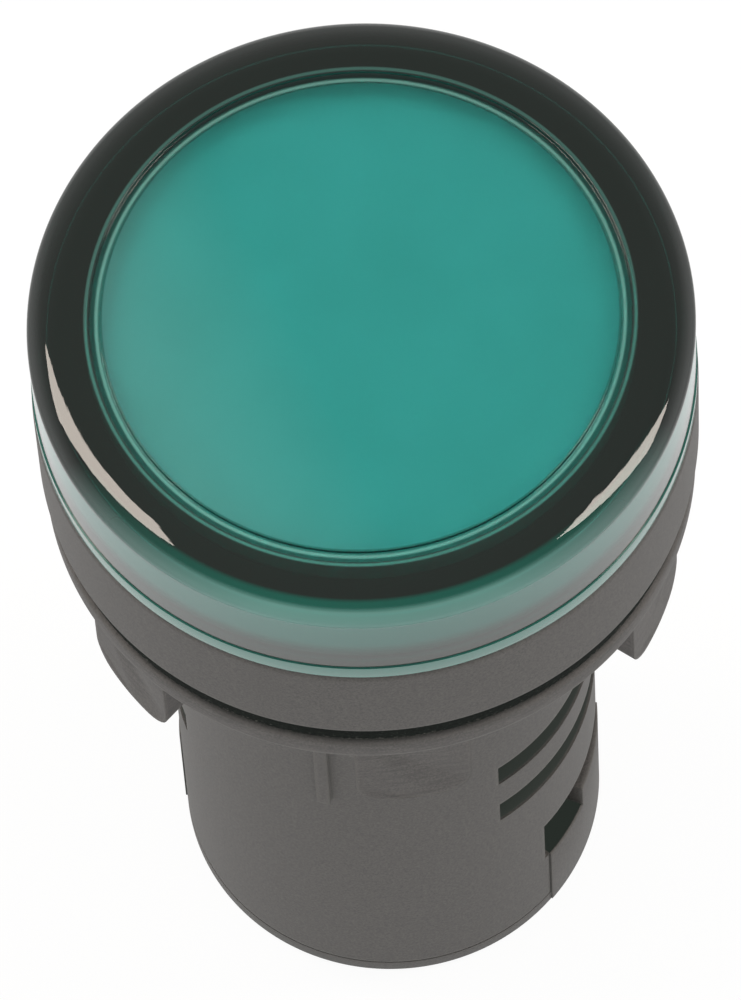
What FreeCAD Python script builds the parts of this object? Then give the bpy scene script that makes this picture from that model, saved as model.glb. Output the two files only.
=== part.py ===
# Panel pilot light for a 22 mm hole: green lens head, sealing gasket, lock nut and a
# round lamp body with two rear screw terminals under a snap-on cover.
# Millimetres. +Z points out of the front of the panel and z = 0 is the panel's front face.
# The body is the same after half a turn about Z, and +X lies in the middle of one vent group.
import FreeCAD, Part
import math
import os
import Sketcher

# Driving sizes: lengths in millimetres, azimuths and angles in degrees
sizes = {
    # panel hole and head
    "neck_radius": 11.0,
    "neck_wall": 1.6,
    "neck_length": 10.15,
    "neck_lead_in": 0.5,
    "bezel_overlap": 3.65,
    "bezel_height": 5.95,
    "bezel_floor": 1.0,
    "bezel_edge_round": 0.4,
    "gasket_inset": 0.3,
    "gasket_thickness": 1.45,
    "gasket_edge_round": 0.3,
    # lens cap
    "bezel_step": 0.1,
    "lens_height": 6.0,
    "lens_top_wall": 1.6,
    "lens_side_wall": 1.0,
    "lens_rim_round": 1.2,
    "lens_foot_proud": 0.06,
    "lens_foot_height": 0.95,
    "lens_ring_inset": 2.73,
    "lens_ring_width": 0.5,
    "lens_ring_depth": 0.2,
    # collar under the lens
    "collar_wall": 1.35,
    "bead_height": 0.25,
    "bead_width": 0.9,
    "bead_level": 2.0,
    "diffuser_thickness": 1.0,
    "diffuser_ledge": 0.9,
    # keyway in the neck
    "key_azimuth": -82.2,
    "key_angle": 8.0,
    "key_depth": 0.8,
    "key_overrun": 1.5,
    # barrel
    "barrel_step": 1.25,
    "barrel_wall": 1.6,
    "behind_panel": 37.9,
    "rib_azimuth": -87.1,
    "rib_angle": 3.6,
    "rib_height": 0.3,
    "rib_length": 7.6,
    "rib_root": 0.5,
    "vent_angle": 77.5,
    "vent_height": 1.85,
    "vent_pitch": 4.15,
    "vent_window_gap": 5.7,
    # wire windows and terminal cover
    "terminal_bay": 9.55,
    "window_height": 3.75,
    "window_azimuth": -23.5,
    "tongue_azimuth": -4.5,
    "tongue_drop": 1.9,
    "wing_azimuth": -21.6,
    "wing_end_azimuth": 22.0,
    "wing_proud": 0.12,
    "wing_wall": 1.35,
    "wing_side_angle": 0.3,
    "cover_plate": 1.2,
    "cover_edge": 0.4,
    "cover_rib_gap": 0.9,
    "cover_rib_angle": 34.0,
    "cover_rib_wall": 1.0,
    "cover_rib_root": 0.2,
    # terminals
    "terminal_drop": 0.5,
    "block_depth": 4.0,
    "block_seat": 0.25,
    "cell_depth": 4.0,
    "cell_margin": 0.3,
    "barrier_width": 1.6,
    "barrier_gap": 0.15,
    "plate_margin": 0.1,
    "plate_inset": 0.2,
    "plate_lip": 0.26,
    "plate_thickness": 0.8,
    "tail_gap": 0.29,
    "tail_width": 1.0,
    "tail_rise": 1.6,
    "washer_end_gap": 0.8,
    "washer_margin": 0.1,
    "washer_thickness": 0.8,
    "washer_corner": 0.5,
    "pan_head_ratio": 1.8,
    "screw_head_height": 1.9,
    "screw_head_round": 0.8,
    "screw_end_gap": 0.5,
    "screw_tip": 0.35,
    "driver_slot_width": 0.75,
    "driver_slot_inset": 0.756,
    "driver_slot_depth": 0.9,
    "driver_hole_inset": 0.2,
    # boards and their pieces
    "board_thickness": 1.2,
    "board_side_gap": 0.9,
    "board_foot": 1.0,
    "led_count": 6,
    "led_keep_out": 1.8,
    "led_radius": 1.5,
    "led_height": 4.2,
    "led_flange_step": 0.4,
    "led_flange_height": 0.8,
    "pin_side": 0.6,
    "pin_spacing": 5.08,
    "pin_stand": 0.7,
    "pin_reach": 4.5,
    "dropper_side_gap": 1.75,
    "dropper_corner_gap": 0.3,
    "dropper_top_gap": 2.2,
    "dropper_foot_gap": 1.95,
    "dropper_edge": 0.6,
    "smoother_wall_gap": 1.35,
    "smoother_offset": -2.4,
    "smoother_top_gap": 2.4,
    "smoother_foot_gap": 2.0,
    "smoother_groove": 0.3,
    "smoother_crimp": 1.08,
    "bridge_width": 8.0,
    "bridge_depth": 2.6,
    "bridge_height": 6.0,
    "bridge_edge": 0.4,
    "bridge_level": 8.6,
    "resistor_radius": 1.15,
    "resistor_length": 6.3,
    "resistor_lead_radius": 0.3,
    "resistor_span": 9.4,
    "resistor_stand": 0.35,
    "resistor_first_level": 5.5,
    "resistor_pitch": 3.6,
    # clearances, and how far a cutting outline reaches past the face it cuts
    "push_gap": 0.05,
    "lens_gap": 0.1,
    "nut_gap": 0.1,
    "screw_gap": 0.08,
    "screw_bore_gap": 0.2,
    "hole_gap": 0.06,
    "skirt_gap": 0.4,
    "overcut": 1.0,
    # lock nut
    "nut_flange_inset": 0.15,
    "nut_flange_height": 1.45,
    "nut_hub_wall": 1.1,
    "nut_hub_height": 6.1,
    "nut_edge": 0.25,
    "nut_azimuth": -4.5,
    "lug_count": 6,
    "lug_inset": 0.6,
    "lug_angle": 21.5,
    "lug_drop": 1.55,
    "lug_round": 1.2,
}

# Sizes that follow from the driving ones, so that neighbours keep together when one of them changes
rules = {
    # the head widens and narrows with the panel hole
    "bezel_radius": "neck_radius + bezel_overlap",
    "lens_radius": "bezel_radius - bezel_step",
    "lens_ring_radius": "lens_radius - lens_ring_inset",
    "gasket_radius": "bezel_radius - gasket_inset",
    "nut_flange_radius": "bezel_radius - nut_flange_inset",
    "nut_hub_radius": "neck_radius + nut_gap + nut_hub_wall",
    "lug_radius": "nut_flange_radius - lug_inset",
    "lug_height": "nut_hub_height + lug_drop",
    # so do the barrel and what fits in it
    "barrel_radius": "neck_radius - barrel_step",
    "barrel_bore": "barrel_radius - barrel_wall",
    "block_wall": "barrel_wall - block_seat",
    "board_width": "2 * (barrel_bore - board_side_gap)",
    "board_face": "board_thickness / 2",
    "dropper_width": "board_width - 2 * dropper_side_gap",
    "dropper_reach": "sqrt((barrel_bore - dropper_corner_gap) ^ 2 - (dropper_width / 2) ^ 2)",
    "dropper_depth": "dropper_reach - board_face",
    "smoother_radius": "(barrel_bore - board_face - smoother_wall_gap) / 2",
    # the terminals fill the room between the barrier and the block's skirt
    "skirt_radius": "barrel_radius - wing_wall - skirt_gap",
    "terminal_offset": "(skirt_radius + barrier_width / 2) / 2",
    "washer_side": "skirt_radius - barrier_width / 2 - 2 * washer_end_gap",
    "screw_head_radius": "washer_side / 2 - washer_margin",
    "screw_radius": "screw_head_radius / pan_head_ratio",
    "plate_width": "washer_side + 2 * plate_margin",
    "cell_width": "washer_side + 2 * cell_margin",
    "driver_hole_radius": "screw_head_radius - driver_hole_inset",
    "screw_length": "washer_thickness + plate_thickness + block_depth - board_foot - screw_end_gap",
    # depths behind the panel's front face
    "window_level": "behind_panel - terminal_bay",
    "wing_level": "window_level + tongue_drop",
    "vent_first_level": "window_level - vent_window_gap - vent_pitch",
    "block_level": "window_level + terminal_drop - block_depth",
    "dropper_top": "resistor_first_level + resistor_pitch + resistor_radius + dropper_top_gap",
    "dropper_foot": "block_level - dropper_foot_gap",
    "smoother_top": "bridge_level + bridge_height / 2 + smoother_top_gap",
    "smoother_foot": "block_level - smoother_foot_gap",
}

tolerance = 0.001
half_turns = "2"  # the body repeats after half a turn

doc = FreeCAD.newDocument("PilotLight")
sheet = doc.addObject("Spreadsheet::Sheet", "dim")
cells = {name: str(number) for name, number in sizes.items()}
cells.update({name: f"={rule}" for name, rule in rules.items()})
for row, name in enumerate(cells, 1):
    sheet.setAlias(f"A{row}", name)
for row, content in enumerate(cells.values(), 1):
    sheet.set(f"A{row}", content)
doc.recompute()

# Places and radii that follow from the sizes, as expressions
bezel_top = "(dim.gasket_thickness + dim.bezel_height)"
lens_top = f"({bezel_top} + dim.lens_height)"
lens_under = f"({lens_top} - dim.lens_top_wall)"
skirt_inside = "(dim.lens_radius - dim.lens_side_wall)"
collar_outside = f"({skirt_inside} - dim.push_gap)"
collar_inside = f"({collar_outside} - dim.collar_wall)"
collar_top = f"({lens_under} - dim.lens_gap)"
ledge_level = f"({collar_top} - dim.diffuser_thickness)"
chamber_radius = f"({collar_inside} - dim.diffuser_ledge)"
bead_level = f"({bezel_top} + dim.bead_level)"
neck_bore = "(dim.neck_radius - dim.neck_wall)"
neck_end = "(0 - dim.neck_length)"
barrel_bore = "dim.barrel_bore"
block_bore = "(dim.barrel_radius - dim.block_wall)"
rear_face = "(0 - dim.behind_panel)"
plate_top = f"({rear_face} + dim.cover_plate)"
terminal_level = "(0 - dim.window_level - dim.terminal_drop)"
block_top = "(0 - dim.block_level)"
screw_bore = "(dim.screw_radius + dim.screw_gap)"
tail_in = "(dim.terminal_offset + dim.screw_radius + dim.tail_gap)"
tail_out = f"({tail_in} + dim.tail_width)"
clamp_level = f"({terminal_level} - dim.plate_thickness)"
head_level = f"({clamp_level} - dim.washer_thickness)"
cell_floor = f"({terminal_level} - dim.cell_depth)"
board_top = "(dim.gasket_thickness + dim.bezel_floor)"
board_bottom = f"({block_top} - dim.board_foot)"
board_face = "dim.board_face"
led_board_top = f"({board_top} + dim.board_thickness)"


def amount(expression):
    return float(sheet.evalExpression(expression))


def new_body(label):
    body = doc.addObject("PartDesign::Body", label)
    body.Label = label
    return body


def sketch_on(body, name, role, azimuth="0", lift="0"):
    sketch = body.newObject("Sketcher::SketchObject", name)
    plane = [f for f in body.Origin.OriginFeatures if f.Role == role][0]
    sketch.AttachmentSupport = [(plane, "")]
    sketch.MapMode = "FlatFace"
    turn_axis = FreeCAD.Vector(0, 1, 0)
    sketch.AttachmentOffset = FreeCAD.Placement(FreeCAD.Vector(), FreeCAD.Rotation(turn_axis, 0))
    if role == "XZ_Plane":
        sketch.setExpression("AttachmentOffset.Rotation.Angle", azimuth)
    else:
        sketch.setExpression("AttachmentOffset.Base.z", lift)
    return sketch


def add_loop(sketch, corners):
    """Draw one closed outline whose corners are pairs of expressions."""
    first = sketch.GeometryCount
    places = [FreeCAD.Vector(amount(a), amount(b), 0) for a, b in corners]
    count = len(places)
    for step in range(count):
        line = Part.LineSegment(places[step], places[(step + 1) % count])
        sketch.addGeometry(line, False)
    for step in range(count):
        following = first + (step + 1) % count
        sketch.addConstraint(Sketcher.Constraint("Coincident", first + step, 2, following, 1))
    for step, corner in enumerate(corners):
        for kind, place, size in zip(("DistanceX", "DistanceY"), places[step], corner):
            rule = Sketcher.Constraint(kind, -1, 1, first + step, 1, place)
            index = sketch.addConstraint(rule)
            sketch.setExpression(f"Constraints[{index}]", size)


def rectangle(left, right, low, high):
    return [(left, low), (right, low), (right, high), (left, high)]


def add_circle(sketch, across, up, radius):
    centre = FreeCAD.Vector(amount(across), amount(up), 0)
    ring = Part.Circle(centre, FreeCAD.Vector(0, 0, 1), amount(radius))
    index = sketch.addGeometry(ring, False)
    rules = [
        ("DistanceX", (-1, 1, index, 3, centre.x), across),
        ("DistanceY", (-1, 1, index, 3, centre.y), up),
        ("Radius", (index, ring.Radius), radius),
    ]
    for kind, places, size in rules:
        rule = sketch.addConstraint(Sketcher.Constraint(kind, *places))
        sketch.setExpression(f"Constraints[{rule}]", size)


def turn(body, name, loops, angle="360", azimuth="0", cut=False):
    """Revolve outlines of (radius, level) about the body's Z axis, the angle split about an azimuth."""
    sketch = sketch_on(body, name + "_outline", "XZ_Plane", azimuth=azimuth)
    for loop in loops:
        add_loop(sketch, loop)
    kind = "PartDesign::Groove" if cut else "PartDesign::Revolution"
    feature = body.newObject(kind, name)
    feature.Profile = sketch
    feature.ReferenceAxis = (sketch, ["V_Axis"])
    feature.Midplane = True
    feature.setExpression("Angle", angle)
    return feature


def extrude(body, name, loops, circles, start, length, cut=False):
    """Pad or pocket an outline of (x, y) upwards from a level."""
    sketch = sketch_on(body, name + "_outline", "XY_Plane", lift=start)
    for loop in loops:
        add_loop(sketch, loop)
    for circle in circles:
        add_circle(sketch, *circle)
    kind = "PartDesign::Pocket" if cut else "PartDesign::Pad"
    feature = body.newObject(kind, name)
    feature.Profile = sketch
    feature.Reversed = cut
    feature.setExpression("Length", length)
    return feature


def repeat(body, name, features, count):
    pattern = body.newObject("PartDesign::PolarPattern", name)
    pattern.Originals = features
    pattern.Axis = (features[0].Profile[0], ["V_Axis"])
    pattern.Angle = 360
    pattern.setExpression("Occurrences", count)
    body.Tip = pattern
    return pattern


def soften(body, name, base, wanted, size, chamfer=False):
    """Round or chamfer the edges of a feature that a test picks out."""
    doc.recompute()
    edges = [f"Edge{n}" for n, edge in enumerate(base.Shape.Edges, 1) if wanted(edge)]
    if not edges:
        raise RuntimeError(f"no edge found for {name}")
    feature = body.newObject("PartDesign::Chamfer" if chamfer else "PartDesign::Fillet", name)
    feature.Base = (base, edges)
    feature.setExpression("Size" if chamfer else "Radius", size)
    body.Tip = feature
    return feature


def is_ring(radius, level):
    """Test for a circular edge about the Z axis."""
    ring_radius, ring_level = amount(radius), amount(level)

    def test(edge):
        if edge.Curve.TypeId != "Part::GeomCircle":
            return False
        centre = edge.Curve.Center
        off_axis = math.hypot(centre.x, centre.y)
        near = abs(edge.Curve.Radius - ring_radius) + abs(centre.z - ring_level)
        return off_axis + near < tolerance

    return test


def spans(edge, low, high):
    ends = sorted(vertex.Point.z for vertex in edge.Vertexes)
    return abs(ends[0] - low) + abs(ends[-1] - high) < tolerance


def place(piece, across="0", along="0", level="0", angle="0"):
    piece.Placement = FreeCAD.Placement(FreeCAD.Vector(), FreeCAD.Rotation(FreeCAD.Vector(0, 0, 1), 0))
    piece.setExpression("Placement.Base.x", across)
    piece.setExpression("Placement.Base.y", along)
    piece.setExpression("Placement.Base.z", level)
    piece.setExpression("Placement.Rotation.Angle", angle)


# Lens cap: one green moulding that snaps over the collar and stands on the bezel
def make_lens_cap():
    body = new_body("lens_cap")
    foot = "(dim.lens_radius + dim.lens_foot_proud)"
    groove_out = f"({skirt_inside} + dim.bead_height)"
    section = [
        ("0", lens_top),
        ("0", lens_under),
        (skirt_inside, lens_under),
        (skirt_inside, f"{bead_level} + dim.bead_width / 2"),
        (groove_out, bead_level),
        (skirt_inside, f"{bead_level} - dim.bead_width / 2"),
        (skirt_inside, bezel_top),
        (foot, bezel_top),
        (foot, f"{bezel_top} + dim.lens_foot_height"),
        ("dim.lens_radius", f"{bezel_top} + dim.lens_foot_height"),
        ("dim.lens_radius", lens_top),
    ]
    cap = turn(body, "cap", [section])
    rim = soften(body, "rim", cap, is_ring("dim.lens_radius", lens_top), "dim.lens_rim_round")
    ring_inside = "dim.lens_ring_radius - dim.lens_ring_width"
    ring_low = f"{lens_top} - dim.lens_ring_depth"
    ring = rectangle(ring_inside, "dim.lens_ring_radius", ring_low, f"{lens_top} + dim.overcut")
    turn(body, "face_ring", [ring], cut=True)
    return body


# Diffuser: milky disc that lies on the collar's ledge, just under the lens
def make_diffuser():
    body = new_body("diffuser_disc")
    edge = f"{collar_inside} - dim.push_gap"
    turn(body, "disc", [rectangle("0", edge, ledge_level, collar_top)])
    return body


# Housing: bezel, lens collar, threaded neck and barrel in one grey moulding
def make_housing():
    body = new_body("housing")
    shoulder = f"{neck_end} + dim.barrel_wall"
    section = [
        (block_bore, plate_top),
        ("dim.barrel_radius", plate_top),
        ("dim.barrel_radius", neck_end),
        ("dim.neck_radius - dim.neck_lead_in", neck_end),
        ("dim.neck_radius", f"{neck_end} + dim.neck_lead_in"),
        ("dim.neck_radius", "dim.gasket_thickness"),
        ("dim.bezel_radius", "dim.gasket_thickness"),
        ("dim.bezel_radius", bezel_top),
        (collar_outside, bezel_top),
        (collar_outside, f"{bead_level} - dim.bead_width / 2"),
        (f"{collar_outside} + dim.bead_height", bead_level),
        (collar_outside, f"{bead_level} + dim.bead_width / 2"),
        (collar_outside, collar_top),
        (collar_inside, collar_top),
        (collar_inside, ledge_level),
        (chamber_radius, ledge_level),
        (chamber_radius, board_top),
        (neck_bore, board_top),
        (neck_bore, shoulder),
        (barrel_bore, shoulder),
        (barrel_bore, block_top),
        (block_bore, block_top),
    ]
    shell = turn(body, "shell", [section])
    corners = [
        is_ring("dim.bezel_radius", "dim.gasket_thickness"),
        is_ring("dim.bezel_radius", bezel_top),
    ]
    soften(body, "bezel_edges", shell, lambda edge: any(c(edge) for c in corners), "dim.bezel_edge_round")

    # vents: two slots to a side, cut right through the wall
    clear_in = f"{barrel_bore} - dim.overcut"
    clear_out = "dim.neck_radius + dim.overcut"
    slots = []
    for order in range(2):
        middle = f"(0 - dim.vent_first_level - {order} * dim.vent_pitch)"
        low = f"{middle} - dim.vent_height / 2"
        slots.append(rectangle(clear_in, clear_out, low, f"{middle} + dim.vent_height / 2"))
    vents = turn(body, "vents", slots, angle="dim.vent_angle", cut=True)
    repeat(body, "vents_both_sides", [vents], half_turns)

    # openings in the rim: the wire window, then the gap that the cover's wing closes
    wing_end = "(dim.wing_end_azimuth + dim.wing_side_angle)"
    wing_start = "(dim.wing_azimuth - dim.wing_side_angle)"
    window_low = "(0 - dim.window_level - dim.window_height)"
    window = turn(
        body, "wire_window",
        [rectangle(clear_in, clear_out, window_low, "0 - dim.window_level")],
        angle=f"{wing_end} - dim.window_azimuth",
        azimuth=f"({wing_end} + dim.window_azimuth) / 2",
        cut=True,
    )
    wing_gap = turn(
        body, "wing_gap",
        [rectangle(clear_in, clear_out, f"{plate_top} - dim.overcut", window_low)],
        angle=f"{wing_end} - {wing_start}",
        azimuth=f"({wing_end} + {wing_start}) / 2",
        cut=True,
    )
    repeat(body, "rim_openings", [window, wing_gap], half_turns)

    # keyway down the neck, running a little way into the barrel
    key_floor = "dim.neck_radius - dim.key_depth"
    key_low = f"{neck_end} - dim.key_overrun"
    turn(
        body, "keyway",
        [rectangle(key_floor, clear_out, neck_end, "0")],
        angle="dim.key_angle", azimuth="dim.key_azimuth", cut=True,
    )
    turn(
        body, "keyway_end",
        [rectangle("dim.barrel_radius - dim.key_depth", clear_out, key_low, neck_end)],
        angle="dim.key_angle", azimuth="dim.key_azimuth", cut=True,
    )

    # guide rib on the barrel beside the keyway
    rib_in = "dim.barrel_radius - dim.rib_root"
    rib_out = "dim.barrel_radius + dim.rib_height"
    turn(
        body, "guide_rib",
        [rectangle(rib_in, rib_out, f"{neck_end} - dim.rib_length", neck_end)],
        angle="dim.rib_angle", azimuth="dim.rib_azimuth",
    )
    return body


# Gasket: flat rubber ring between the bezel and the panel
def make_gasket():
    body = new_body("panel_gasket")
    inside = "dim.neck_radius + dim.push_gap"
    ring = turn(body, "ring", [rectangle(inside, "dim.gasket_radius", "0", "dim.gasket_thickness")])
    corners = [
        is_ring("dim.gasket_radius", "0"),
        is_ring("dim.gasket_radius", "dim.gasket_thickness"),
    ]
    soften(body, "edges", ring, lambda edge: any(c(edge) for c in corners), "dim.gasket_edge_round")
    return body


# Lock nut: flange, hub and six finger lugs with rounded lower corners
def make_lock_nut():
    body = new_body("lock_nut")
    bore = "(dim.neck_radius + dim.nut_gap)"
    flange_low = "(0 - dim.nut_flange_height)"
    hub_low = "(0 - dim.nut_hub_height)"
    lug_low = "(0 - dim.lug_height)"
    section = [
        (bore, hub_low),
        ("dim.nut_hub_radius", hub_low),
        ("dim.nut_hub_radius", flange_low),
        ("dim.nut_flange_radius - dim.nut_edge", flange_low),
        ("dim.nut_flange_radius", f"{flange_low} + dim.nut_edge"),
        ("dim.nut_flange_radius", "0 - dim.nut_edge"),
        ("dim.nut_flange_radius - dim.nut_edge", "0"),
        (bore, "0"),
    ]
    turn(body, "ring", [section])
    lug = turn(
        body, "lug",
        [rectangle(bore, "dim.lug_radius", lug_low, f"{flange_low} + dim.nut_edge")],
        angle="dim.lug_angle",
    )
    lugs = repeat(body, "lugs", [lug], "dim.lug_count")
    low = amount(lug_low)

    def lug_corner(edge):
        return edge.Curve.TypeId == "Part::GeomLine" and spans(edge, low, low)

    soften(body, "lug_corners", lugs, lug_corner, "dim.lug_round")
    place(body, angle="dim.nut_azimuth")
    return body


# Boards: the round one carries the lamps and the upright one the supply
def make_led_board():
    body = new_body("led_board")
    hole = "dim.pin_side / sqrt(2) + dim.hole_gap"
    holes = []
    for side in (-1, 1):
        holes.append((f"{side} * dim.pin_spacing / 2", f"{board_face} + dim.pin_side / 2", hole))
    edge = ("0", "0", f"{chamber_radius} - dim.push_gap")
    extrude(body, "disc", [], [edge] + holes, board_top, "dim.board_thickness")
    return body


def make_power_board():
    body = new_body("power_board")
    half = "dim.board_width / 2"
    loop = rectangle(f"0 - {half}", half, f"0 - {board_face}", board_face)
    extrude(body, "board", [loop], [], board_bottom, f"{board_top} - {board_bottom}")
    return body


# Lamps: flanged resin bodies with domed tips, in a ring on the round board
def make_led(number):
    label = f"led_{number}"
    flange = doc.addObject("Part::Cylinder", label + "_flange")
    flange.setExpression("Radius", "dim.led_radius + dim.led_flange_step")
    flange.setExpression("Height", "dim.led_flange_height")
    barrel = doc.addObject("Part::Cylinder", label + "_barrel")
    barrel.setExpression("Radius", "dim.led_radius")
    barrel.setExpression("Height", "dim.led_height - dim.led_radius")
    dome = doc.addObject("Part::Sphere", label + "_dome")
    dome.setExpression("Radius", "dim.led_radius")
    dome.Angle1 = 0
    place(dome, level="dim.led_height - dim.led_radius")
    lamp = doc.addObject("Part::MultiFuse", label)
    lamp.Label = label
    lamp.Shapes = [flange, barrel, dome]
    lamp.Refine = True
    circle = f"({chamber_radius} + dim.led_keep_out) / 2"
    azimuth = f"({number} - 1 / 2) * 360 deg / dim.led_count"
    place(
        lamp,
        across=f"{circle} * cos({azimuth})",
        along=f"{circle} * sin({azimuth})",
        level=led_board_top,
    )
    return lamp


# Link pins: square posts soldered from the upright board into the round one
def make_board_pin(number):
    label = f"board_pin_{number}"
    pin = doc.addObject("Part::Box", label)
    pin.Label = label
    pin.setExpression("Length", "dim.pin_side")
    pin.setExpression("Width", "dim.pin_side")
    pin.setExpression("Height", "dim.pin_stand + dim.board_thickness + dim.pin_reach")
    side = 2 * number - 3
    place(
        pin,
        across=f"{side} * dim.pin_spacing / 2 - dim.pin_side / 2",
        along=board_face,
        level=f"{board_top} - dim.pin_reach",
    )
    return pin


# Supply pieces: film capacitor and resistors in front, smoothing capacitor and bridge behind
def make_dropper_capacitor():
    case = doc.addObject("Part::Box", "dropper_case")
    case.setExpression("Length", "dim.dropper_width")
    case.setExpression("Width", "dim.dropper_depth")
    case.setExpression("Height", "dim.dropper_foot - dim.dropper_top")
    place(
        case,
        across="0 - dim.dropper_width / 2",
        along=f"0 - {board_face} - dim.dropper_depth",
        level="0 - dim.dropper_foot",
    )
    doc.recompute()
    body = doc.addObject("Part::Fillet", "dropper_capacitor")
    body.Label = "dropper_capacitor"
    body.Base = case
    front = amount(f"0 - {board_face} - dim.dropper_depth")
    radius = amount("dim.dropper_edge")
    edges = []
    for number, edge in enumerate(case.Shape.Edges, 1):
        if all(abs(vertex.Point.y - front) < tolerance for vertex in edge.Vertexes):
            edges.append((number, radius, radius))
    body.Edges = edges
    return body


def make_smoothing_capacitor():
    body = new_body("smoothing_capacitor")
    radius = "dim.smoother_radius"
    waist = f"{radius} - dim.smoother_groove"
    crimp = "dim.smoother_crimp"
    section = [
        ("0", "0"),
        (radius, "0"),
        (radius, crimp),
        (waist, f"{crimp} + dim.smoother_groove"),
        (waist, f"{crimp} + 2 * dim.smoother_groove"),
        (radius, f"{crimp} + 3 * dim.smoother_groove"),
        (radius, "dim.smoother_foot - dim.smoother_top"),
        ("0", "dim.smoother_foot - dim.smoother_top"),
    ]
    turn(body, "can", [section])
    place(
        body,
        across="dim.smoother_offset",
        along=f"{board_face} + {radius}",
        level="0 - dim.smoother_foot",
    )
    return body


def make_bridge_rectifier():
    body = new_body("bridge_rectifier")
    half = "dim.bridge_width / 2"
    outside = f"{board_face} + dim.bridge_depth"
    edge = "dim.bridge_edge"
    loop = [
        (f"0 - {half}", board_face),
        (half, board_face),
        (half, f"{outside} - {edge}"),
        (f"{half} - {edge}", outside),
        (f"{edge} - {half}", outside),
        (f"0 - {half}", f"{outside} - {edge}"),
    ]
    start = "0 - dim.bridge_level - dim.bridge_height / 2"
    extrude(body, "block", [loop], [], start, "dim.bridge_height")
    return body


def make_resistor(number):
    label = f"resistor_{number}"
    level = f"(0 - dim.resistor_first_level - {number - 1} * dim.resistor_pitch)"
    stand = "(dim.resistor_stand + dim.resistor_radius)"
    axis = f"(0 - {board_face} - {stand})"
    sideways = FreeCAD.Rotation(FreeCAD.Vector(0, 1, 0), 90)
    inwards = FreeCAD.Rotation(FreeCAD.Vector(1, 0, 0), -90)

    def rod(name, radius, length, turned, across):
        piece = doc.addObject("Part::Cylinder", f"{label}_{name}")
        piece.Placement = FreeCAD.Placement(FreeCAD.Vector(), turned)
        piece.setExpression("Radius", radius)
        piece.setExpression("Height", length)
        piece.setExpression("Placement.Base.x", across)
        piece.setExpression("Placement.Base.y", axis)
        piece.setExpression("Placement.Base.z", level)
        return piece

    lead = "dim.resistor_lead_radius"
    post = f"({lead} + dim.push_gap)"
    height = f"{stand} + {post}"
    pieces = [
        rod("core", "dim.resistor_radius", "dim.resistor_length", sideways, "0 - dim.resistor_length / 2"),
        rod("lead", lead, "dim.resistor_span", sideways, "0 - dim.resistor_span / 2"),
        rod("left_post", post, height, inwards, "0 - dim.resistor_span / 2"),
        rod("right_post", post, height, inwards, "dim.resistor_span / 2"),
    ]
    for piece in pieces[2:]:
        piece.setExpression("Placement.Base.y", f"{axis} - {post}")
    resistor = doc.addObject("Part::MultiFuse", label)
    resistor.Label = label
    resistor.Shapes = pieces
    resistor.Refine = True
    return resistor


# Terminal block: disc that holds the upright board's foot, two screw cells and a barrier
def make_terminal_block():
    body = new_body("terminal_block")
    disc = f"({block_bore} - dim.push_gap)"
    skirt = "dim.skirt_radius"
    section = [
        ("0", cell_floor),
        (skirt, cell_floor),
        (skirt, terminal_level),
        (disc, terminal_level),
        (disc, block_top),
        ("0", block_top),
    ]
    turn(body, "disc", [section])
    half_barrier = "dim.barrier_width / 2"
    half_cell = "dim.cell_width / 2"
    cells = [
        rectangle(half_barrier, "dim.barrel_radius", f"0 - {half_cell}", half_cell),
        rectangle("0 - dim.barrel_radius", f"0 - {half_barrier}", f"0 - {half_cell}", half_cell),
    ]
    extrude(body, "cells", cells, [], cell_floor, "dim.cell_depth", cut=True)
    reach = f"({skirt} - dim.cover_rib_wall - dim.cover_rib_root)"
    wall = rectangle(f"0 - {half_barrier}", half_barrier, f"0 - {reach}", reach)
    wall_low = f"({plate_top} + dim.barrier_gap)"
    extrude(body, "barrier", [wall], [], wall_low, f"{cell_floor} - {wall_low}")
    tip = f"({head_level} + dim.screw_length)"
    bores = [
        (f"{side} * dim.terminal_offset", "0", screw_bore)
        for side in (-1, 1)
    ]
    bore_depth = f"{tip} + dim.screw_bore_gap - {terminal_level}"
    extrude(body, "screw_bores", [], bores, terminal_level, bore_depth, cut=True)
    half_board = "(dim.board_width / 2 + dim.push_gap)"
    half_slot = f"({board_face} + dim.push_gap)"
    foot = rectangle(f"0 - {half_board}", half_board, f"0 - {half_slot}", half_slot)
    extrude(body, "board_seat", [foot], [], board_bottom, "dim.board_foot", cut=True)
    slot_in = f"({tail_in} - dim.push_gap)"
    slot_out = f"({tail_out} + dim.push_gap)"
    slot_far = f"({board_face} + dim.plate_thickness + dim.push_gap)"
    tails = [
        rectangle(slot_in, slot_out, "0", slot_far),
        rectangle(f"0 - {slot_out}", f"0 - {slot_in}", f"0 - {slot_far}", "0"),
    ]
    extrude(body, "tail_slots", tails, [], terminal_level, "dim.block_depth", cut=True)
    return body


# Terminal plates: tapped brass plates whose tails rise to the upright board's faces
def make_terminal_plate(number):
    body = new_body(f"terminal_plate_{number}")
    inner = "dim.barrier_width / 2 + dim.plate_inset"
    half = "dim.plate_width / 2"
    loop = rectangle(inner, f"{tail_out} + dim.plate_lip", f"0 - {half}", half)
    hole = ("dim.terminal_offset", "0", screw_bore)
    extrude(body, "plate", [loop], [hole], clamp_level, "dim.plate_thickness")
    tail = rectangle(tail_in, tail_out, board_face, f"{board_face} + dim.plate_thickness")
    rise = "dim.plate_thickness + dim.block_depth + dim.tail_rise"
    extrude(body, "tail", [tail], [], clamp_level, rise)
    place(body, angle=f"{number - 1} * 180")
    return body


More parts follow.
